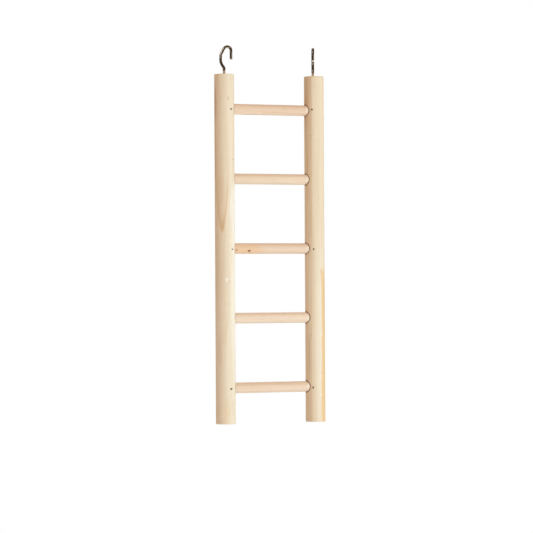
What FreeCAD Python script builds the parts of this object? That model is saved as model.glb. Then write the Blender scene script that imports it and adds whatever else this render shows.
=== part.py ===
import FreeCAD, Part
import math
import os

from FreeCAD import Vector

# Bird ladder that hangs from two screw hooks: two round wooden rails, five round rungs let
# into blind sockets in them, nails through every second rung's ends, and one bent wire
# screw hook turned into the top of each rail.
# Sizes are in millimetres. X runs along the rungs, -Y is the front and +Z is up. The origin
# lies midway between the rails, on the plane of their feet.

# Rails: plain dowel with the edges of its sawn ends eased.
rail_diameter = 15.0
rail_length = 262.5
rail_spacing = 73.1
rail_end_chamfer = 0.3

# Rungs: thinner dowel, evenly spaced between the lowest and the highest, and let into blind
# sockets a little wider than the dowel. The margins run from a rail's end to a rung's axis.
rung_count = 5
rung_diameter = 8.0
foot_margin = 26.85
head_margin = 26.05
socket_depth = 9.0
socket_clearance = 0.3
socket_end_gap = 0.3

# Nails: thin headless brads of flat wire with a chisel point, driven through the front of the
# rail into every second rung until they stand just under the surface. Each has its own angle
# round the rail, in degrees from the front towards the rungs, and its own lift above the
# rung's axis. Both are listed from the lowest rung up.
nailed_every = 2
nail_width = 0.95
nail_height = 1.2
nail_length = 10.0
nail_point = 1.5
nail_point_width = 0.2
nail_sink = 0.6
nail_angles = {"left": (10.0, 26.0, 20.0), "right": (37.0, 30.0, 36.0)}
nail_lifts = {"left": (-0.5, -0.6, -0.3), "right": (-0.9, -0.6, 0.8)}

# Hooks: bright wire that leaves its screw shank at a kink, bows back behind it through a
# heel and an elbow, and comes round a crook to a straight tip. Heights are above the rail's
# top, and reaches are from the shank's axis to the wire's centre line. Each hook is turned
# about its shank by its own angle, in degrees from +X to the side that the tip is on, and its
# hole is off the middle of the rail's end by its own x and y.
wire_diameter = 2.1
screw_core_diameter = 1.6
screw_depth = 13.0
screw_point = 3.0
screw_point_diameter = 0.3
screw_showing = 3.0
screw_runout = 0.4
pilot_end_gap = 0.5
kink_height = 4.9
kink_radius = 1.7
heel_height = 8.7
heel_reach = 2.6
heel_radius = 7.5
elbow_height = 14.75
elbow_reach = 2.45
elbow_radius = 4.3
crook_radius = 2.9
crook_reach = 2.4
crook_top = 20.75
tip_height = 11.1
tip_chamfer = 0.3
hook_angles = {"left": -22.0, "right": 248.0}
hook_offsets = {"left": (0.0, 0.0), "right": (-0.6, 0.25)}

sides = {"left": -1, "right": 1}
rail_radius = rail_diameter / 2
rung_radius = rung_diameter / 2
rung_pitch = (rail_length - foot_margin - head_margin) / (rung_count - 1)
core_radius = screw_core_diameter / 2
wire_radius = wire_diameter / 2


def rail_axis_x(side):
    return sides[side] * rail_spacing / 2


def hook_foot(side):
    """Where a hook's screw enters the top of its rail."""
    off_x, off_y = hook_offsets[side]
    return Vector(rail_axis_x(side) + off_x, off_y, rail_length)


def rung_height(number):
    return foot_margin + (number - 1) * rung_pitch


def circular_edges(solid):
    return [edge for edge in solid.Edges if isinstance(edge.Curve, Part.Circle)]


def rod(radius, start, direction, length):
    """A round bar from a point along a direction."""
    return Part.makeCylinder(radius, length, start, direction)


def nail_along_y(start):
    """A nail that points along +Y from a start; at 0 it is whole, and before 0 it is its hole."""
    half = nail_width / 2
    half_tip = nail_point_width / 2
    straight = nail_length - nail_point
    outline = [(-half, start), (half, start), (half, straight)]
    outline += [(half_tip, nail_length), (-half_tip, nail_length), (-half, straight)]
    corners = [Vector(x, y, -nail_height / 2) for x, y in outline]
    face = Part.Face(Part.makePolygon(corners + corners[:1]))
    return face.extrude(Vector(0, 0, nail_height))


def nails_in(side, start):
    """The nails of one rail, or their holes, by the number of the rung that each one holds."""
    made = {}
    nailed = range(1, rung_count + 1, nailed_every)
    for number, angle, lift in zip(nailed, nail_angles[side], nail_lifts[side]):
        nail = nail_along_y(start)
        nail.translate(Vector(0, nail_sink - rail_radius, 0))
        nail.rotate(Vector(0, 0, 0), Vector(0, 0, 1), -sides[side] * angle)
        nail.translate(Vector(rail_axis_x(side), 0, rung_height(number) + lift))
        made[number] = nail
    return made


def make_rail(side):
    """One dowel rail with its rung sockets, the screw hook's pilot hole and the nail holes."""
    x = rail_axis_x(side)
    into_rail = Vector(sides[side], 0, 0)
    rail = rod(rail_radius, Vector(x, 0, 0), Vector(0, 0, 1), rail_length)
    rail = rail.makeChamfer(rail_end_chamfer, circular_edges(rail))

    mouth_x = x - sides[side] * 2 * rail_radius
    drilled = rail_radius + socket_depth
    for number in range(1, rung_count + 1):
        start = Vector(mouth_x, 0, rung_height(number))
        rail = rail.cut(rod(rung_radius + socket_clearance, start, into_rail, drilled))

    pilot_depth = screw_depth + pilot_end_gap
    rail = rail.cut(rod(core_radius, hook_foot(side), Vector(0, 0, -1), pilot_depth))

    for hole in nails_in(side, -2 * nail_sink).values():
        rail = rail.cut(hole)
    return rail


def make_rung(number):
    """One dowel rung that reaches into both sockets, with its nail holes if it is nailed."""
    half_length = rail_spacing / 2 - rail_radius + socket_depth - socket_end_gap
    start = Vector(-half_length, 0, rung_height(number))
    rung = rod(rung_radius, start, Vector(1, 0, 0), 2 * half_length)
    for side in sides:
        nails = nails_in(side, 0)
        if number in nails:
            rung = rung.cut(nails[number])
    return rung


def make_nails():
    """All the nails, as separate solids in one group."""
    return Part.makeCompound([nail for side in sides for nail in nails_in(side, 0).values()])


def turned(vector, angle):
    """A vector in the hook's plane, turned by an angle in radians."""
    rotation = FreeCAD.Rotation(Vector(0, -1, 0), math.degrees(angle))
    return rotation.multVec(vector)


def crook_tangent(elbow, centre):
    """Where a line from the elbow, passing behind the crook's centre, touches the crook."""
    reach = centre - elbow
    spread = math.acos(crook_radius / reach.Length)
    towards_elbow = (elbow - centre).normalize()
    return centre + turned(towards_elbow, -spread) * crook_radius


def rounded_line(points, radii):
    """Straight runs between points, with a tangent arc of the given radius at each turn."""
    edges = []
    last = points[0]
    for before, corner, after, radius in zip(points, points[1:], points[2:], radii):
        back = (before - corner).normalize()
        on = (after - corner).normalize()
        half_turn = (math.pi - back.getAngle(on)) / 2
        cut_back = radius * math.tan(half_turn)
        arc_start = corner + back * cut_back
        arc_end = corner + on * cut_back
        inward = (back + on).normalize()
        arc_middle = corner + inward * (radius / math.cos(half_turn) - radius)
        edges.append(Part.makeLine(last, arc_start))
        edges.append(Part.Arc(arc_start, arc_middle, arc_end).toShape())
        last = arc_end
    edges.append(Part.makeLine(last, points[-1]))
    return edges


def hook_wire():
    """The bent wire above the screw: kink, bowed back, elbow, crook and straight tip."""
    centre = Vector(crook_reach, 0, crook_top - crook_radius)
    elbow = Vector(-elbow_reach, 0, elbow_height)
    meets_crook = crook_tangent(elbow, centre)
    back = rounded_line(
        [
            Vector(0, 0, screw_showing + screw_runout),
            Vector(0, 0, kink_height),
            Vector(-heel_reach, 0, heel_height),
            elbow,
            meets_crook,
        ],
        [kink_radius, heel_radius, elbow_radius],
    )
    tip_side = centre + Vector(crook_radius, 0, 0)
    behind = (meets_crook - centre).normalize()
    over_the_top = (behind + Vector(1, 0, 0)).normalize()
    crook = Part.Arc(meets_crook, centre + over_the_top * crook_radius, tip_side).toShape()
    tip_end = Vector(tip_side.x, 0, tip_height)
    spine = Part.Wire(back + [crook, Part.makeLine(tip_side, tip_end)])

    start = Vector(0, 0, screw_showing + screw_runout)
    section = Part.Wire(Part.makeCircle(wire_radius, start, Vector(0, 0, 1)))
    wire = spine.makePipeShell([section], True, False)
    end_rim = [
        edge
        for edge in circular_edges(wire)
        if abs(edge.Curve.Center.z - tip_height) < wire_radius
        and abs(edge.Curve.Center.x - tip_end.x) < wire_radius
    ]
    return wire.makeChamfer(tip_chamfer, end_rim)


def make_hook(side):
    """One screw hook: pointed screw shank, runout to full wire, and the bent wire."""
    up = Vector(0, 0, 1)
    point_start = Vector(0, 0, screw_point - screw_depth)
    shank = rod(core_radius, point_start, up, screw_showing - point_start.z)
    point = Part.makeCone(core_radius, screw_point_diameter / 2, screw_point, point_start, -up)
    shank_top = Vector(0, 0, screw_showing)
    runout = Part.makeCone(core_radius, wire_radius, screw_runout, shank_top, up)
    hook = shank.fuse([point, runout, hook_wire()]).removeSplitter()
    hook.rotate(Vector(0, 0, 0), up, hook_angles[side])
    hook.translate(hook_foot(side))
    return hook


def make_ladder():
    nodes = {}
    for side in sides:
        nodes[side + "_rail"] = make_rail(side)
        nodes[side + "_hook"] = make_hook(side)
    for number in range(1, rung_count + 1):
        nodes["rung_" + str(number)] = make_rung(number)
    nodes["rung_nails"] = make_nails()
    return nodes


os.makedirs("parts", exist_ok=True)
for name, shape in make_ladder().items():
    shape.exportStep("parts/" + name + ".step")
    print(name, "solids", len(shape.Solids), "valid", shape.isValid(), "volume", round(shape.Volume, 2))
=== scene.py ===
import math

import bmesh
import bpy
from mathutils import Matrix, Vector


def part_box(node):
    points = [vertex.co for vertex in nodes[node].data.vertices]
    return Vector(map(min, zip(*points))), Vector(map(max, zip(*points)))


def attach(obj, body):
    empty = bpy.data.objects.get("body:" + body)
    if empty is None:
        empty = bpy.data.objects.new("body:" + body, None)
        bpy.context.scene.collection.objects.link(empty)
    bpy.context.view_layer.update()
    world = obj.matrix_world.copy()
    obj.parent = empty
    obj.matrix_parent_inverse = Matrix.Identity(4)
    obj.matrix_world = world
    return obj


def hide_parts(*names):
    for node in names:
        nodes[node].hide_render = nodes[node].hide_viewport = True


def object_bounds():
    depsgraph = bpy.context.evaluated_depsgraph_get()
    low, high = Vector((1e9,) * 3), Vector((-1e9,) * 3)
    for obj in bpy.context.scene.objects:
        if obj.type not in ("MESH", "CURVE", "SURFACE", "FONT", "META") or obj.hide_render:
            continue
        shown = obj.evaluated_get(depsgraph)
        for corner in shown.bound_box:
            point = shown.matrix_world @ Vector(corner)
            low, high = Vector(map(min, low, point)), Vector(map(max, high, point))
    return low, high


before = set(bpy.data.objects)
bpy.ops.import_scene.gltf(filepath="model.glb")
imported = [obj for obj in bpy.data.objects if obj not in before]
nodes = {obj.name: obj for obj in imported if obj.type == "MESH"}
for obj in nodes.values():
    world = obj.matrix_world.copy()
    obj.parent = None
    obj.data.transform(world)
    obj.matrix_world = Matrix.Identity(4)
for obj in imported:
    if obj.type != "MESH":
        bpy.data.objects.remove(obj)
cad_low, cad_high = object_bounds()
mm = 0.001


# Side rails: two 15 mm dowels of pale softwood, sanded and left bare. Each comes from its own
# board, so its rings, knots and stains are its own. The frame's solids stay, with their drilled
# sockets, and only get this wood.

def socket_kind(value):
    return {float: "NodeSocketFloat", tuple: "NodeSocketVector"}[type(value)]


def start_group(name, inputs, outputs):
    """A shader group whose inputs have the given defaults; gives its tree and its inputs."""
    tree = bpy.data.node_groups.new(name, "ShaderNodeTree")
    for label, value in inputs.items():
        made = tree.interface.new_socket(label, in_out="INPUT", socket_type=socket_kind(value))
        made.default_value = value
    for label in outputs:
        tree.interface.new_socket(label, in_out="OUTPUT", socket_type="NodeSocketFloat")
    return tree, tree.nodes.new("NodeGroupInput").outputs


def end_group(tree, results):
    end = tree.nodes.new("NodeGroupOutput")
    for label, value in results.items():
        tree.links.new(value, end.inputs[label])


def place(tree, kind, sockets, **settings):
    """A node with its settings, whose named or numbered sockets take a constant or a link."""
    node = tree.nodes.new(kind)
    for name, value in settings.items():
        setattr(node, name, value)
    for key, value in sockets.items():
        if isinstance(value, bpy.types.NodeSocket):
            tree.links.new(value, node.inputs[key])
        else:
            node.inputs[key].default_value = value
    return node


def sum_up(tree, operation, *values):
    node = place(tree, "ShaderNodeMath", dict(enumerate(values)), operation=operation)
    return node.outputs[0]


def vector_sum(tree, operation, *values):
    node = place(tree, "ShaderNodeVectorMath", dict(enumerate(values)), operation=operation)
    return node.outputs["Value" if operation in ("LENGTH", "DOT_PRODUCT") else "Vector"]


def ease(tree, value, low, high, first=0.0, last=1.0):
    """A smooth step from first at low to last at high."""
    sockets = {"Value": value, "From Min": low, "From Max": high, "To Min": first, "To Max": last}
    return place(tree, "ShaderNodeMapRange", sockets, interpolation_type="SMOOTHSTEP").outputs[0]


def cloud(tree, position, stretch, detail):
    """Noise around 0.5, with its lumps per metre along each axis."""
    scaled = vector_sum(tree, "MULTIPLY", position, stretch)
    sockets = {"Vector": scaled, "Scale": 1.0, "Detail": detail}
    return place(tree, "ShaderNodeTexNoise", sockets).outputs[0]


def tint(tree, mask, under, over, blend="MIX"):
    sockets = {0: mask, 6: under, 7: over}
    node = place(tree, "ShaderNodeMix", sockets, data_type="RGBA", blend_type=blend)
    return node.outputs[2]


def make_growth_rings():
    """Year rings round a heart line that leans away from the dowel; the grain runs along Z."""
    tree, given = start_group(
        "growth rings",
        {
            "Position": (0.0, 0.0, 0.0),
            "Heart": (0.0, 0.0, 0.0),
            "Lean": (0.0, 0.0, 0.0),
            "Ring Width": 0.005,
            "Late Share": 0.15,
            "Edge": 0.05,
            "Waver": 0.001,
            "Seed": 0.0,
            "Marked Year": 0.0,
        },
        ["Late Wood", "Year", "Marked"],
    )
    waver_lumps = (70.0, 70.0, 11.0)
    vigour_lumps = (50.0, 50.0, 9.0)
    slack_share = 0.22
    dense_share = 0.78
    height = place(tree, "ShaderNodeSeparateXYZ", {0: given["Position"]}).outputs["Z"]
    rise = place(tree, "ShaderNodeCombineXYZ", {0: height, 1: height, 2: height}).outputs[0]
    leaned = vector_sum(tree, "MULTIPLY", given["Lean"], rise)
    heart = vector_sum(tree, "ADD", given["Heart"], leaned)
    out = vector_sum(tree, "SUBTRACT", given["Position"], heart)
    radius = vector_sum(tree, "LENGTH", vector_sum(tree, "MULTIPLY", out, (1.0, 1.0, 0.0)))
    seed_shift = vector_sum(tree, "ADD", given["Position"], given["Seed"])
    slow = sum_up(tree, "SUBTRACT", cloud(tree, seed_shift, waver_lumps, 2.0), 0.5)
    shift = sum_up(tree, "MULTIPLY", slow, given["Waver"])
    years = sum_up(tree, "DIVIDE", sum_up(tree, "ADD", radius, shift), given["Ring Width"])
    part = sum_up(tree, "FRACT", years)
    whole = sum_up(tree, "FLOOR", years)
    number = sum_up(tree, "ADD", whole, given["Seed"])
    year = place(tree, "ShaderNodeTexWhiteNoise", {"W": number}, noise_dimensions="1D").outputs[0]
    marked = sum_up(tree, "COMPARE", whole, given["Marked Year"], 0.5)
    peak = sum_up(tree, "SUBTRACT", 1.0, given["Edge"])
    begin = sum_up(tree, "SUBTRACT", peak, given["Late Share"])
    dense = sum_up(tree, "POWER", ease(tree, part, begin, peak), 1.5)
    slack = sum_up(tree, "MULTIPLY", ease(tree, part, 0.25, 0.9), slack_share)
    swell = sum_up(tree, "ADD", slack, sum_up(tree, "MULTIPLY", dense, dense_share))
    late = sum_up(tree, "MULTIPLY", swell, ease(tree, part, peak, 1.0, 1.0, 0.0))
    vigour = ease(tree, cloud(tree, seed_shift, vigour_lumps, 1.0), 0.35, 0.6, 0.55, 1.0)
    late = sum_up(tree, "MULTIPLY", late, vigour)
    end_group(tree, {"Late Wood": late, "Year": year, "Marked": marked})
    return tree


def make_fibres():
    """Grain that runs along Z: broad streaks, short dark vessels and the felt of the surface."""
    tree, given = start_group(
        "fibres",
        {"Position": (0.0, 0.0, 0.0), "Seed": 0.0},
        ["Streaks", "Vessels", "Relief"],
    )
    broad_lumps = (620.0, 620.0, 16.0)
    fine_lumps = (2900.0, 2900.0, 90.0)
    blotch_lumps = (120.0, 120.0, 22.0)
    vessel_lumps = (3300.0, 3300.0, 260.0)
    broad_share = 0.5
    fine_share = 0.2
    blotch_share = 0.3
    position = vector_sum(tree, "ADD", given["Position"], given["Seed"])
    fine = cloud(tree, position, fine_lumps, 2.0)
    broad_part = sum_up(tree, "MULTIPLY", cloud(tree, position, broad_lumps, 3.0), broad_share)
    fine_part = sum_up(tree, "MULTIPLY", fine, fine_share)
    blotch_part = sum_up(tree, "MULTIPLY", cloud(tree, position, blotch_lumps, 3.0), blotch_share)
    streaks = sum_up(tree, "ADD", sum_up(tree, "ADD", broad_part, fine_part), blotch_part)
    vessels = ease(tree, cloud(tree, position, vessel_lumps, 1.0), 0.64, 0.76)
    lathe_marks = {
        "Vector": position,
        "Scale": 190.0,
        "Distortion": 1.5,
        "Detail": 2.0,
        "Detail Scale": 0.6,
    }
    turned = place(tree, "ShaderNodeTexWave", lathe_marks, bands_direction="Z").outputs["Fac"]
    felt = sum_up(tree, "ADD", fine, sum_up(tree, "MULTIPLY", turned, 0.12))
    relief = sum_up(tree, "SUBTRACT", felt, sum_up(tree, "MULTIPLY", vessels, 0.6))
    end_group(tree, {"Streaks": streaks, "Vessels": vessels, "Relief": relief})
    return tree


def make_spot():
    """One local mark round a centre, such as a knot or a stain, with a soft uneven edge."""
    tree, given = start_group(
        "spot",
        {
            "Position": (0.0, 0.0, 0.0),
            "Centre": (0.0, 0.0, 0.0),
            "Half Size": (0.001, 0.001, 0.001),
            "Softness": 0.5,
        },
        ["Mask"],
    )
    away = vector_sum(tree, "SUBTRACT", given["Position"], given["Centre"])
    reach = vector_sum(tree, "LENGTH", vector_sum(tree, "DIVIDE", away, given["Half Size"]))
    edge_lumps = (900.0, 900.0, 300.0)
    unevenness = 0.5
    rough = sum_up(tree, "SUBTRACT", cloud(tree, given["Position"], edge_lumps, 2.0), 0.5)
    reach = sum_up(tree, "ADD", reach, sum_up(tree, "MULTIPLY", rough, unevenness))
    inner = sum_up(tree, "SUBTRACT", 1.0, given["Softness"])
    mask = ease(tree, reach, inner, 1.0, 1.0, 0.0)
    end_group(tree, {"Mask": mask})
    return tree


def make_scorch_and_gap_shade():
    """Dark brown on the walls and rims of a row of sockets along Z: partly where the drill
    scorched the wood, partly painted shade in the gap round each rung.
    """
    tree, given = start_group(
        "socket browning and painted gap shade",
        {
            "Position": (0.0, 0.0, 0.0),
            "Lowest": 0.0,
            "Pitch": 0.05,
            "Radius": 0.004,
            "Rim": 0.0004,
            "Facing": 1.0,
        },
        ["Mask"],
    )
    split = place(tree, "ShaderNodeSeparateXYZ", {0: given["Position"]}).outputs
    above = sum_up(tree, "SUBTRACT", split["Z"], given["Lowest"])
    steps = sum_up(tree, "ROUND", sum_up(tree, "DIVIDE", above, given["Pitch"]))
    off = sum_up(tree, "SUBTRACT", above, sum_up(tree, "MULTIPLY", steps, given["Pitch"]))
    across = place(tree, "ShaderNodeCombineXYZ", {0: 0.0, 1: split["Y"], 2: off}).outputs[0]
    outside = sum_up(tree, "SUBTRACT", vector_sum(tree, "LENGTH", across), given["Radius"])
    rim_lumps = (1100.0, 1100.0, 1100.0)
    rough = cloud(tree, given["Position"], rim_lumps, 2.0)
    width = sum_up(tree, "MULTIPLY", given["Rim"], sum_up(tree, "ADD", rough, 0.5))
    rim = ease(tree, sum_up(tree, "DIVIDE", outside, width), 0.25, 1.0, 1.0, 0.0)
    side = ease(tree, sum_up(tree, "MULTIPLY", split["X"], given["Facing"]), 0.0, 0.001)
    end_group(tree, {"Mask": sum_up(tree, "MULTIPLY", rim, side)})
    return tree


growth_rings = make_growth_rings()
fibres = make_fibres()
spot = make_spot()
scorch_and_gap_shade = make_scorch_and_gap_shade()


def dowel_wood(name, grain, origin, wood, marks, sockets=None):
    """Bare dowel wood. Origin is the dowel's middle, and its grain runs along X or Z."""
    scorch_and_shade_opacity = 0.92
    end_opacity = 0.75
    late_gloss = 0.08
    late_relief = 0.5
    relief_depth = 0.03 * mm
    made = bpy.data.materials.new(name)
    made.use_nodes = True
    tree = made.node_tree
    surface = tree.nodes["Principled BSDF"]
    seen = tree.nodes.new("ShaderNodeTexCoord")
    centred = vector_sum(tree, "SUBTRACT", seen.outputs["Object"], origin)
    turn = {"X": (0.0, math.pi / 2, 0.0), "Z": (0.0, 0.0, 0.0)}[grain]
    along = place(tree, "ShaderNodeMapping", {"Vector": centred, "Rotation": turn}).outputs[0]

    rings = place(tree, "ShaderNodeGroup", {"Position": along}, node_tree=growth_rings)
    for label in rings.inputs.keys():
        if label in wood:
            rings.inputs[label].default_value = wood[label]
    inputs = {"Position": along, "Seed": wood["Seed"]}
    fibre = place(tree, "ShaderNodeGroup", inputs, node_tree=fibres).outputs

    late = rings.outputs["Late Wood"]
    faint = ease(tree, rings.outputs["Year"], 0.0, 1.0, 0.0, wood["Faint Ring"])
    strong = sum_up(tree, "MULTIPLY", rings.outputs["Marked"], wood["Strong Ring"])
    strength = sum_up(tree, "MAXIMUM", faint, strong)
    colour = tint(tree, sum_up(tree, "MULTIPLY", late, strength), wood["Pale"], wood["Late"])
    depth = ease(tree, fibre["Streaks"], 0.3, 0.7, 0.0, wood["Streakiness"])
    colour = tint(tree, depth, colour, wood["Streak"], "MULTIPLY")
    flecks = sum_up(tree, "MULTIPLY", fibre["Vessels"], wood["Fleckiness"])
    colour = tint(tree, flecks, colour, wood["Fleck"])
    for centre, half_size, softness, shade, opacity in marks:
        inputs = {
            "Position": centred,
            "Centre": centre,
            "Half Size": half_size,
            "Softness": softness,
        }
        mark = place(tree, "ShaderNodeGroup", inputs, node_tree=spot).outputs["Mask"]
        colour = tint(tree, sum_up(tree, "MULTIPLY", mark, opacity), colour, shade)
    # The socket walls and rims are painted dark: partly drill scorch, partly painted shade in the
    # gap round each rung's end.
    if sockets:
        inputs = {"Position": centred, **sockets}
        burn_and_gap_shade = place(tree, "ShaderNodeGroup", inputs, node_tree=scorch_and_gap_shade).outputs["Mask"]
        colour = tint(tree, sum_up(tree, "MULTIPLY", burn_and_gap_shade, scorch_and_shade_opacity), colour, scorched_and_shaded)

    lengthwise = {"X": (1, 0, 0), "Z": (0, 0, 1)}[grain]
    facing = vector_sum(tree, "DOT_PRODUCT", seen.outputs["Normal"], lengthwise)
    sawn = ease(tree, sum_up(tree, "ABSOLUTE", facing), 0.55, 0.95)
    sawn = sum_up(tree, "MULTIPLY", sawn, end_opacity)
    colour = tint(tree, sawn, colour, wood["End Grain"], "MULTIPLY")
    tree.links.new(colour, surface.inputs["Base Color"])

    dull = ease(tree, fibre["Streaks"], 0.3, 0.7, 0.56, 0.68)
    dull = sum_up(tree, "SUBTRACT", dull, sum_up(tree, "MULTIPLY", late, late_gloss))
    tree.links.new(dull, surface.inputs["Roughness"])
    relief = sum_up(tree, "ADD", fibre["Relief"], sum_up(tree, "MULTIPLY", late, late_relief))
    bump = place(tree, "ShaderNodeBump", {"Distance": relief_depth, "Height": relief})
    tree.links.new(bump.outputs[0], surface.inputs["Normal"])
    return made


def on_dowel(radius, degrees, height):
    """A point on an upright dowel, by its angle from the front towards the right."""
    angle = math.radians(degrees)
    return (radius * math.sin(angle), -radius * math.cos(angle), height)


rail_low, rail_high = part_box("left_rail")
rail_radius = (rail_high.y - rail_low.y) / 2
rail_top = rail_high.z
rail_middle = rail_top / 2
rail_x = {}
for side in ("left", "right"):
    low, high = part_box(side + "_rail")
    rail_x[side] = (low.x + high.x) / 2

rung_z = {}
for number in range(1, 6):
    low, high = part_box("rung_" + str(number))
    rung_z[number] = (low.z + high.z) / 2
socket_radius = 4.3 * mm
# Width of the dark rim round each socket mouth, partly scorch and partly painted shade.
scorched_and_shaded_rim = 0.75 * mm

orange_brown = (0.50, 0.25, 0.09, 1.0)
# Near-black brown round the brad holes: crushed fibres and painted shade in the dents.
bruised_and_shaded = (0.13, 0.055, 0.02, 1.0)
# Colour of the socket walls and rims: drill scorch and painted gap shade.
scorched_and_shaded = (0.26, 0.095, 0.025, 1.0)
tan = (0.62, 0.44, 0.27, 1.0)
amber = (0.835, 0.585, 0.30, 1.0)
honey = (0.66, 0.39, 0.15, 1.0)
sand = (0.87, 0.74, 0.56, 1.0)
straw = (0.89, 0.79, 0.62, 1.0)
cream = (0.93, 0.88, 0.76, 1.0)
ivory = (0.95, 0.94, 0.85, 1.0)
knot_white = (0.99, 0.95, 0.84, 1.0)
end_grain = (0.80, 0.70, 0.58, 1.0)

# Each wood: where the tree's heart lies beside the dowel and how it leans, how wide, dark and
# even its year rings are, and the colours of its early wood, late wood, streaks and flecks.
rail_wood = {
    "left": {
        "Heart": (-25.74 * mm, -35.48 * mm, 0.0),
        "Lean": (-0.0099, 0.0786, 0.0),
        "Ring Width": 5.108 * mm,
        "Late Share": 0.13,
        "Edge": 0.05,
        "Waver": 0.6 * mm,
        "Seed": 3.0,
        "Marked Year": 6.0,
        "Faint Ring": 0.22,
        "Strong Ring": 0.55,
        "Pale": straw,
        "Late": (0.72, 0.42, 0.16, 1.0),
        "Streakiness": 0.55,
        "Streak": (0.88, 0.82, 0.74, 1.0),
        "Fleckiness": 0.35,
        "Fleck": (0.60, 0.42, 0.27, 1.0),
        "End Grain": end_grain,
    },
    "right": {
        "Heart": (-60.0 * mm, 10.0 * mm, 0.0),
        "Lean": (0.0011, 0.0, 0.0),
        "Ring Width": 6.43 * mm,
        "Late Share": 0.45,
        "Edge": 0.15,
        "Waver": 0.7 * mm,
        "Seed": 8.0,
        "Marked Year": 8.0,
        "Faint Ring": 0.14,
        "Strong Ring": 0.45,
        "Pale": (0.885, 0.77, 0.59, 1.0),
        "Late": (0.66, 0.43, 0.22, 1.0),
        "Streakiness": 0.55,
        "Streak": (0.88, 0.82, 0.74, 1.0),
        "Fleckiness": 0.35,
        "Fleck": (0.60, 0.42, 0.27, 1.0),
        "End Grain": end_grain,
    },
}
# Each mark: its angle in degrees and its height on the rail, half its width and half its
# height, all in millimetres, then its softness, colour and opacity. Later ones lie on top.
rail_marks = {
    "left": [
        (-57, 55.0, 3.2, 19.0, 0.8, tan, 0.30),
        (-95, 215.0, 3.0, 60.0, 0.8, orange_brown, 0.22),
        (-86, 242.0, 3.0, 20.0, 0.8, orange_brown, 0.45),
        (-34, 151.0, 1.5, 9.0, 0.9, orange_brown, 0.22),
        (-42, 178.0, 3.4, 30.0, 0.9, honey, 0.16),
        (14, 222.0, 3.0, 46.0, 0.8, straw, 0.75),
        (-1, 200.0, 2.0, 30.0, 0.9, sand, 0.80),
        # Paler, whiter wood over the lit right side of the rail's lower part: partly its own tone,
        # partly a painted sheen.
        (48, 96.0, 7.5, 90.0, 0.7, cream, 0.80),
        (42, 160.0, 6.0, 32.0, 0.7, ivory, 0.60),
        (-62, 60.0, 5.0, 78.0, 0.8, cream, 0.40),
        (2.8, 244.1, 0.3, 2.2, 0.4, orange_brown, 0.95),
        (33, 198.2, 0.5, 0.6, 0.5, orange_brown, 0.90),
        (-11, 108.2, 1.9, 2.6, 0.9, knot_white, 0.85),
        (4, 107.4, 0.6, 1.8, 0.9, orange_brown, 0.40),
        (-14, 8.0, 4.0, 16.0, 0.9, amber, 0.30),
        (26, 12.0, 0.5, 9.0, 0.7, orange_brown, 0.30),
        # Dark dots round the brad holes: crushed fibres, and painted shade in the dents.
        (16, 26.6, 0.8, 0.75, 0.35, bruised_and_shaded, 0.95),
        (28, 131.0, 0.65, 0.7, 0.35, bruised_and_shaded, 0.90),
        (26, 236.0, 0.8, 0.75, 0.35, bruised_and_shaded, 0.95),
    ],
    "right": [
        # Tan over the right rail's left side: partly its own tone, partly painted shade where the
        # left rail and rungs keep light off it.
        (-75, 262.0, 6.5, 130.0, 1.0, tan, 0.40),
        (-70, 246.0, 3.0, 28.0, 0.9, tan, 0.40),
        (8, 60.0, 5.0, 130.0, 0.9, cream, 0.45),
        (-50, 60.0, 3.5, 110.0, 0.9, cream, 0.30),
        (72, 262.0, 6.5, 80.0, 0.9, amber, 0.50),
        (62, 32.0, 6.5, 97.0, 0.25, amber, 0.95),
        (62, 88.0, 5.6, 36.0, 0.3, amber, 0.80),
        (54, 0.0, 6.3, 42.0, 0.4, amber, 0.80),
        (84, 96.0, 3.4, 62.0, 0.6, amber, 0.85),
        (88, 130.0, 1.4, 62.0, 0.8, amber, 0.50),
        (20, 145.0, 0.8, 32.0, 0.8, honey, 0.25),
        (17, 113.5, 0.6, 3.5, 0.6, honey, 0.55),
        (21, 110.5, 0.85, 7.5, 0.5, amber, 0.95),
        (28, 92.0, 1.25, 28.0, 0.4, amber, 0.95),
        (-66, 190.0, 0.8, 34.0, 0.8, orange_brown, 0.30),
        (-58, 128.0, 0.6, 22.0, 0.8, orange_brown, 0.22),
        (-60, 50.0, 0.9, 26.0, 0.8, orange_brown, 0.30),
        (-85, 235.0, 2.4, 20.0, 0.8, orange_brown, 0.25),
        (-43, 217.3, 0.45, 0.6, 0.5, orange_brown, 0.80),
        (-43.5, 65.5, 0.45, 0.6, 0.5, orange_brown, 0.70),
        # Dark dots round the brad holes: crushed fibres, and painted shade in the dents.
        (-36, 26.4, 0.7, 0.75, 0.35, bruised_and_shaded, 0.95),
        (-29, 131.2, 0.7, 0.75, 0.35, bruised_and_shaded, 0.90),
        (-34, 237.0, 0.7, 0.75, 0.35, bruised_and_shaded, 0.95),
    ],
}
for side, x in rail_x.items():
    marks = []
    for angle, height, half_width, half_height, softness, shade, opacity in rail_marks[side]:
        centre = on_dowel(rail_radius, angle, height * mm - rail_middle)
        half_size = (half_width * mm, half_width * mm, half_height * mm)
        marks.append((centre, half_size, softness, shade, opacity))
    sockets = {
        "Lowest": rung_z[1] - rail_middle,
        "Pitch": rung_z[2] - rung_z[1],
        "Radius": socket_radius,
        "Rim": scorched_and_shaded_rim,
        "Facing": {"left": 1.0, "right": -1.0}[side],
    }
    rail = nodes[side + "_rail"]
    rail.data.materials.clear()
    middle = (x, 0.0, rail_middle)
    rail.data.materials.append(
        dowel_wood(side + " rail wood", "Z", middle, rail_wood[side], marks, sockets)
    )


# Rungs: five 8 mm dowels of a pinker, closer-grained wood, cut from different stock. The
# solids stay, and each one gets its own heart and tone. The middle one has a small dark knot.

def under_front(along, radius, degrees):
    """A point on a lying dowel, by its place along it and its angle below the front."""
    angle = math.radians(degrees)
    return (along, -radius * math.cos(angle), -radius * math.sin(angle))


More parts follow.
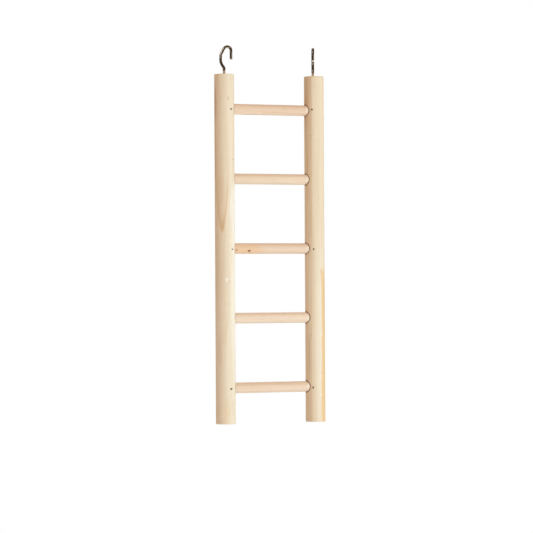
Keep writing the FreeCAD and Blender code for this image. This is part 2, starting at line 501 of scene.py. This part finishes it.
knot_brown = (0.21, 0.045, 0.02, 1.0)
blush = (0.85, 0.58, 0.37, 1.0)
# Colour of the painted highlight at each rung's right end.
pale_end_highlight = (0.96, 0.86, 0.71, 1.0)
# Each rung: its pale tone, its heart's place across the grain in millimetres, and how strongly
# its darkest year ring shows.
rung_tones = {
    1: ((0.885, 0.710, 0.552, 1.0), (22.0, 9.0), 0.30),
    2: ((0.900, 0.742, 0.588, 1.0), (-14.0, 21.0), 0.25),
    3: ((0.885, 0.708, 0.552, 1.0), (12.0, -19.0), 0.35),
    4: ((0.885, 0.722, 0.560, 1.0), (18.0, 26.0), 0.25),
    5: ((0.880, 0.694, 0.534, 1.0), (-25.0, -8.0), 0.30),
}
for number, (pale, heart, strong) in rung_tones.items():
    name = "rung_" + str(number)
    low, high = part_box(name)
    middle = (low + high) / 2
    reach = (high.y - low.y) / 2
    wood = {
        "Heart": (heart[0] * mm, heart[1] * mm, 0.0),
        "Lean": (0.01 * (number - 3), 0.008, 0.0),
        "Ring Width": 2.4 * mm,
        "Late Share": 0.4,
        "Edge": 0.1,
        "Waver": 0.8 * mm,
        "Seed": 20.0 + number,
        "Marked Year": 9.0,
        "Faint Ring": 0.18,
        "Strong Ring": strong,
        "Pale": pale,
        "Late": (0.64, 0.40, 0.23, 1.0),
        "Streakiness": 0.55,
        "Streak": (0.88, 0.80, 0.73, 1.0),
        "Fleckiness": 0.45,
        "Fleck": (0.55, 0.35, 0.22, 1.0),
        "End Grain": end_grain,
    }
    # A paler patch at the front of each rung's right end, by the right rail: a painted highlight.
    highlight_end = (29.6 * mm, -reach, 0.0)
    marks = [(highlight_end, (1.8 * mm, 3.6 * mm, 3.6 * mm), 0.7, pale_end_highlight, 0.6)]
    if number == 3:
        reddened = (-20 * mm, -0.8 * reach, -0.6 * reach)
        knot = under_front(-18.4 * mm, reach, 28)
        nick = under_front(-28.7 * mm, reach, 19)
        marks += [
            (reddened, (18 * mm, 8 * mm, 8 * mm), 0.6, blush, 0.90),
            (knot, (1.5 * mm, 1.2 * mm, 1.1 * mm), 0.6, knot_brown, 0.95),
            (nick, (1.1 * mm, 1.0 * mm, 0.9 * mm), 0.5, orange_brown, 0.9),
        ]
    rung = nodes[name]
    rung.data.materials.clear()
    rung.data.materials.append(dowel_wood(name + " wood", "X", tuple(middle), wood, marks))


# Rung nails: thin headless brads of plain steel wire, sunk just under the rail's surface. The
# solids stay, and are dark, dull steel with a little rust from handling.

def dark_steel():
    made = bpy.data.materials.new("brad steel")
    made.use_nodes = True
    tree = made.node_tree
    surface = tree.nodes["Principled BSDF"]
    seen = tree.nodes.new("ShaderNodeTexCoord").outputs["Object"]
    rust_lumps = (2500.0, 2500.0, 2500.0)
    bare_steel = (0.045, 0.026, 0.012, 1.0)
    rust_brown = (0.035, 0.014, 0.006, 1.0)
    patches = cloud(tree, seen, rust_lumps, 4.0)
    rust = ease(tree, patches, 0.48, 0.66)
    colour = tint(tree, rust, bare_steel, rust_brown)
    tree.links.new(colour, surface.inputs["Base Color"])
    tree.links.new(ease(tree, rust, 0.0, 1.0, 1.0, 0.2), surface.inputs["Metallic"])
    tree.links.new(ease(tree, patches, 0.3, 0.7, 0.42, 0.7), surface.inputs["Roughness"])
    bump = place(tree, "ShaderNodeBump", {"Distance": 0.02 * mm, "Height": patches})
    tree.links.new(bump.outputs[0], surface.inputs["Normal"])
    return made


nails = nodes["rung_nails"]
nails.data.materials.clear()
nails.data.materials.append(dark_steel())


# Screw hooks: 2.1 mm steel wire, nickel plated, one turned into the top of each rail. A wood
# thread is rolled on the shank down to its point. Above it the wire is bent cold: a kink, a
# long bow back, the crook and a straight tip.

wire_radius = 1.05 * mm
root_radius = 0.8 * mm
thread_pitch = 0.9 * mm
thread_profile = [(0.0, 0.0), (0.30, 1.0), (0.44, 1.0), (0.78, 0.0), (1.0, 0.0)]
shank_depth = 13.0 * mm
point_length = 3.0 * mm
point_radius = 0.15 * mm
thread_end = 3.0 * mm
runout = 0.4 * mm
tip_round = 0.3 * mm
wire_sides = 24
# Each bend: the straight run before it, the bend's radius, and its turn towards the tip.
bends = [
    (0.974 * mm, 1.7 * mm, -34.380),
    (1.656 * mm, 7.5 * mm, 35.801),
    (2.647 * mm, 4.3 * mm, 25.741),
    (3.990 * mm, 2.9 * mm, 152.838),
]
tip_run = 6.75 * mm
bend_step = 5.0
sharp_angle = 38.0
hook_turn = {"left": -22.0, "right": 248.0}
bent_length = sum(run + radius * abs(math.radians(turn)) for run, radius, turn in bends)
wire_length = thread_end + runout + bent_length + tip_run
hook_foot = {"left": (rail_x["left"], 0.0), "right": (rail_x["right"] - 0.6 * mm, 0.25 * mm)}


def roll_thread(mesh):
    """The pointed, threaded shank up to the full wire, open at its top; gives its top edges."""
    bottom = -shank_depth - 1.5 * thread_pitch
    corners = []
    for rise, crest in thread_profile:
        reach = root_radius + crest * (wire_radius - root_radius)
        corners.append(mesh.verts.new((reach, 0.0, bottom + rise * thread_pitch)))
    edges = [mesh.edges.new(pair) for pair in zip(corners, corners[1:])]
    turns = math.ceil((thread_end + runout - bottom) / thread_pitch) + 1
    bmesh.ops.spin(
        mesh,
        geom=corners + edges,
        axis=(0, 0, 1),
        dvec=(0, 0, thread_pitch / wire_sides),
        angle=turns * math.tau,
        steps=turns * wire_sides,
    )
    bmesh.ops.remove_doubles(mesh, verts=mesh.verts, dist=0.001 * mm)
    for vert in mesh.verts:
        reach = vert.co.xy.length
        fade = min(max((vert.co.z - thread_end + thread_pitch) / thread_pitch, 0.0), 1.0)
        full = reach + (wire_radius - reach) * fade
        slim = min(max((vert.co.z + shank_depth) / point_length, 0.0), 1.0)
        narrowed = point_radius + (full - point_radius) * slim
        vert.co.xy *= narrowed / reach
    for height, up in ((-shank_depth, -1), (thread_end + runout / 2, 1)):
        cut = bmesh.ops.bisect_plane(
            mesh,
            geom=mesh.verts[:] + mesh.edges[:] + mesh.faces[:],
            dist=0.0001 * mm,
            plane_co=(0, 0, height),
            plane_no=(0, 0, up),
            clear_outer=True,
        )["geom_cut"]
        rim = [item for item in cut if isinstance(item, bmesh.types.BMEdge)]
        if up < 0:
            bmesh.ops.contextual_create(mesh, geom=rim)
    return rim


def draw_on(mesh, rim, turn, centre, move):
    """Carries the wire's end ring one step on, turned about a centre and then moved."""
    made = bmesh.ops.extrude_edge_only(mesh, edges=rim)["geom"]
    ring = [item for item in made if isinstance(item, bmesh.types.BMVert)]
    bmesh.ops.rotate(mesh, verts=ring, cent=centre, matrix=Matrix.Rotation(turn, 3, "Y"))
    bmesh.ops.translate(mesh, verts=ring, vec=move)
    kept = set(ring)
    edges = [item for item in made if isinstance(item, bmesh.types.BMEdge)]
    return [edge for edge in edges if kept.issuperset(edge.verts)], ring


def bend_wire(side):
    """One hook as a closed mesh; unbent keeps each point's place on the straight wire."""
    mesh = bmesh.new()
    unbent = mesh.verts.layers.float_vector.new("unbent")
    top = roll_thread(mesh)
    for vert in mesh.verts:
        vert[unbent] = vert.co.copy()

    start = Vector((0, 0, thread_end + runout))
    circle = bmesh.ops.create_circle(
        mesh, segments=wire_sides, radius=wire_radius, matrix=Matrix.Translation(start)
    )["verts"]
    for vert in circle:
        vert[unbent] = vert.co.copy()
    rim = list(dict.fromkeys(edge for vert in circle for edge in vert.link_edges))
    bmesh.ops.bridge_loops(mesh, edges=top + rim)

    here = start
    heading = 0.0

    def step(rim, turn, centre, move, length):
        rim, ring = draw_on(mesh, rim, turn, centre, move)
        for vert in ring:
            vert[unbent] += Vector((0, 0, length))
        return rim

    for straight, radius, turn in bends:
        ahead = Vector((math.sin(heading), 0, math.cos(heading)))
        rim = step(rim, 0.0, here, ahead * straight, straight)
        here = here + ahead * straight
        swing = math.radians(turn)
        inward = Vector((ahead.z, 0, -ahead.x)) * math.copysign(radius, swing)
        centre = here + inward
        count = max(6, round(abs(turn) / bend_step))
        for _ in range(count):
            rim = step(rim, swing / count, centre, Vector(), abs(swing) * radius / count)
        here = centre + Matrix.Rotation(swing, 3, "Y") @ (here - centre)
        heading += swing
    ahead = Vector((math.sin(heading), 0, math.cos(heading)))
    rim = step(rim, 0.0, here, ahead * tip_run, tip_run)
    cap = bmesh.ops.contextual_create(mesh, geom=rim)["faces"]
    bmesh.ops.bevel(
        mesh,
        geom=list(cap[0].edges),
        offset=tip_round,
        offset_type="OFFSET",
        affect="EDGES",
        segments=2,
        profile=0.5,
        material=-1,
        clamp_overlap=True,
    )
    bmesh.ops.remove_doubles(mesh, verts=mesh.verts, dist=0.0005 * mm)
    bmesh.ops.poke(mesh, faces=[face for face in mesh.faces if len(face.verts) > 4])
    bmesh.ops.recalc_face_normals(mesh, faces=mesh.faces)
    angle = math.radians(hook_turn[side])
    bmesh.ops.rotate(mesh, verts=mesh.verts, matrix=Matrix.Rotation(angle, 3, "Z"))
    bmesh.ops.translate(mesh, verts=mesh.verts, vec=(*hook_foot[side], rail_top))
    for face in mesh.faces:
        face.smooth = True
    data = bpy.data.meshes.new(side + "_screw_hook")
    mesh.to_mesh(data)
    mesh.free()
    data.set_sharp_from_angle(angle=math.radians(sharp_angle))
    return data


def nickel_plate(side, cut_and_glint_run, cut_and_glint_colour):
    """Bright plate, with wood dust and a painted sheen on the thread, and bare along the last run
    of the tip, where a white cut colour paints a highlight.
    """
    made = bpy.data.materials.new(side + " nickel plate")
    made.use_nodes = True
    tree = made.node_tree
    surface = tree.nodes["Principled BSDF"]
    unbent = place(tree, "ShaderNodeAttribute", {}, attribute_name="unbent").outputs["Vector"]
    drawing_lines = (5200.0, 5200.0, 60.0)
    haze_lumps = (700.0, 700.0, 350.0)
    clean_plate = (0.68, 0.60, 0.49, 1.0)
    hazy_plate = (0.58, 0.48, 0.36, 1.0)
    wood_dust_and_sheen = (0.62, 0.50, 0.36, 1.0)
    dust_and_sheen_from = 2.7 * mm
    dust_and_sheen_to = 3.9 * mm
    dust_and_sheen_waver = 2.0 * mm
    lines = cloud(tree, unbent, drawing_lines, 2.0)
    haze = cloud(tree, unbent, haze_lumps, 3.0)
    colour = tint(tree, ease(tree, haze, 0.35, 0.7), clean_plate, hazy_plate)
    along = place(tree, "ShaderNodeSeparateXYZ", {0: unbent}).outputs["Z"]
    wavering = sum_up(tree, "ADD", along, sum_up(tree, "MULTIPLY", haze, dust_and_sheen_waver))
    # On the thread the pale, unplated wood dust is also a painted sheen on the thread's flanks.
    dust_and_sheen = ease(tree, wavering, dust_and_sheen_from, dust_and_sheen_to, 0.75, 0.0)
    colour = tint(tree, dust_and_sheen, colour, wood_dust_and_sheen)
    cut_and_glint_from = wire_length - cut_and_glint_run
    # The bare cut end; on the right hook its near-white colour is a painted highlight.
    cut = ease(tree, along, cut_and_glint_from, cut_and_glint_from + 0.15 * mm, 0.0, 0.8)
    colour = tint(tree, cut, colour, cut_and_glint_colour)
    bare_and_painted_light = sum_up(tree, "MAXIMUM", dust_and_sheen, cut)
    tree.links.new(colour, surface.inputs["Base Color"])
    tree.links.new(sum_up(tree, "SUBTRACT", 1.0, bare_and_painted_light), surface.inputs["Metallic"])
    worn = ease(tree, haze, 0.3, 0.7, 0.10, 0.22)
    worn = sum_up(tree, "ADD", worn, sum_up(tree, "MULTIPLY", lines, 0.06))
    worn = sum_up(tree, "ADD", worn, sum_up(tree, "MULTIPLY", bare_and_painted_light, 0.3))
    tree.links.new(worn, surface.inputs["Roughness"])
    bump = place(tree, "ShaderNodeBump", {"Strength": 0.4, "Distance": 0.01 * mm, "Height": lines})
    tree.links.new(bump.outputs[0], surface.inputs["Normal"])
    return made


# How far the plate is gone from each tip, and the colour of the wire there. On the right hook this
# long, near-white end is a painted highlight.
bare_ends_and_glint = {
    "left": (0.45 * mm, (0.62, 0.50, 0.42, 1.0)),
    "right": (1.0 * mm, (0.95, 0.90, 0.82, 1.0)),
}
for side in ("left", "right"):
    hook = bpy.data.objects.new(side + "_screw_hook", bend_wire(side))
    bpy.context.scene.collection.objects.link(hook)
    hook.data.materials.append(nickel_plate(side, *bare_ends_and_glint[side]))
    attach(hook, "root")
    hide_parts(side + "_hook")


# Studio: a white floor well under the hanging ladder, a cool soft light low on the right, a
# weaker one above it, one behind, and a warm glow from all round. Seen directly, everything
# round the ladder is white.

def lamp(name, size, power, colour, height, degrees, distance):
    """A square soft light aimed at the ladder's middle, by its angle from the front."""
    data = bpy.data.lights.new(name, "AREA")
    data.shape = "SQUARE"
    data.size = size
    data.energy = power
    data.color = colour
    made = bpy.data.objects.new(name, data)
    target = Vector((0, 0, (cad_low.z + cad_high.z) / 2))
    made.location = Vector(on_dowel(distance, degrees, height))
    made.rotation_euler = (target - made.location).to_track_quat("-Z", "Y").to_euler()
    made.visible_glossy = False
    bpy.context.scene.collection.objects.link(made)


cool_white = (0.53, 0.80, 1.0)
soft_white = (0.89, 1.0, 0.92)
pale_cyan = (0.70, 1.0, 0.96)
lamp("key light", 0.8, 8.8, cool_white, height=-0.32, degrees=31.0, distance=1.3)
lamp("high light", 0.8, 4.2, soft_white, height=0.50, degrees=20.0, distance=1.3)
lamp("back light", 1.0, 11.5, pale_cyan, height=0.5, degrees=170.0, distance=1.5)

floor_radius = 1.2
floor_place = Matrix.Translation((0, 0, -0.7))
floor_mesh = bmesh.new()
bmesh.ops.create_circle(
    floor_mesh, cap_ends=True, segments=96, radius=floor_radius, matrix=floor_place
)
floor_data = bpy.data.meshes.new("floor")
floor_mesh.to_mesh(floor_data)
floor_mesh.free()
floor = bpy.data.objects.new("floor", floor_data)
bpy.context.scene.collection.objects.link(floor)

paper = bpy.data.materials.new("floor paper")
paper.use_nodes = True
tree = paper.node_tree
surface = tree.nodes["Principled BSDF"]
surface.inputs["Roughness"].default_value = 0.9
seen = tree.nodes.new("ShaderNodeTexCoord").outputs["Object"]
pulp_lumps = (160.0, 160.0, 160.0)
pulp = ease(tree, cloud(tree, seen, pulp_lumps, 3.0), 0.3, 0.7)
paper_colour = tint(tree, pulp, (0.86, 0.86, 0.85, 1.0), (0.88, 0.88, 0.87, 1.0))
tree.links.new(paper_colour, surface.inputs["Base Color"])
surface.inputs["Emission Color"].default_value = (1.0, 1.0, 1.0, 1.0)
camera_ray = tree.nodes.new("ShaderNodeLightPath").outputs["Is Camera Ray"]
tree.links.new(sum_up(tree, "MULTIPLY", camera_ray, 0.6), surface.inputs["Emission Strength"])
floor_data.materials.append(paper)

world = bpy.data.worlds.new("studio")
bpy.context.scene.world = world
world.use_nodes = True
tree = world.node_tree
background = tree.nodes["Background"]
path = tree.nodes.new("ShaderNodeLightPath").outputs
toward = tree.nodes.new("ShaderNodeTexCoord").outputs["Generated"]
# Bright metal sees a dark, warm room with bright patches in it: the white backdrop, a window
# high on the left with dimmer light beside and under it, a panel high at the back and two on
# the right. Each patch: its way from the ladder, half its width and half its height as a share
# of its distance, and its colour.
bright_patches = [
    ((0.373, 0.928, 0.0), 0.40, 0.40, (1.0, 1.0, 1.0, 1.0)),
    ((-0.845, -0.414, 0.34), 0.20, 0.27, (3.4, 3.3, 3.2, 1.0)),
    ((-0.946, -0.001, 0.325), 0.22, 0.10, (1.3, 1.2, 1.1, 1.0)),
    ((-0.643, -0.669, -0.375), 0.16, 0.16, (1.8, 1.7, 1.6, 1.0)),
    ((-0.231, 0.706, 0.669), 0.35, 0.35, (1.3, 1.3, 1.3, 1.0)),
    ((0.742, -0.666, -0.087), 0.20, 0.15, (1.4, 1.4, 1.4, 1.0)),
    ((0.865, 0.501, -0.05), 0.20, 0.20, (1.9, 1.8, 1.7, 1.0)),
]
dark_room = (0.072, 0.048, 0.030, 1.0)
metal_sees = dark_room
for way, half_width, half_height, shade in bright_patches:
    off = vector_sum(tree, "SUBTRACT", toward, way)
    off = vector_sum(tree, "DIVIDE", off, (half_width, half_width, half_height))
    patch = ease(tree, vector_sum(tree, "LENGTH", off), 0.7, 1.0, 1.0, 0.0)
    metal_sees = tint(tree, patch, metal_sees, shade)
ambient = (0.66, 0.51, 0.417, 1.0)
for_metal = tint(tree, path["Is Glossy Ray"], ambient, metal_sees)
direct = sum_up(tree, "MAXIMUM", path["Is Camera Ray"], path["Is Transmission Ray"])
seen_colour = tint(tree, direct, for_metal, (1.0, 1.0, 1.0, 1.0))
tree.links.new(seen_colour, background.inputs["Color"])


# Camera: level with the ladder's lower third, about 22 degrees round to its left, and far
# off, so that it is seen almost without perspective.

camera_place = Vector((-0.710, -1.757, 0.106))
camera_yaw = math.radians(21.918)
camera_pitch = math.radians(0.365)
camera_roll = math.radians(-0.31)
lens = 169.26
camera_data = bpy.data.cameras.new("camera")
camera_data.lens = lens
camera_data.sensor_width = 36.0
camera = bpy.data.objects.new("camera", camera_data)
tilt = Matrix.Rotation(math.pi / 2 + camera_pitch, 3, "X")
aim = Matrix.Rotation(-camera_yaw, 3, "Z") @ tilt @ Matrix.Rotation(camera_roll, 3, "Z")
camera.matrix_world = Matrix.Translation(camera_place) @ aim.to_4x4()
bpy.context.scene.collection.objects.link(camera)
bpy.context.scene.camera = camera
bpy.context.scene.view_settings.view_transform = "Standard"
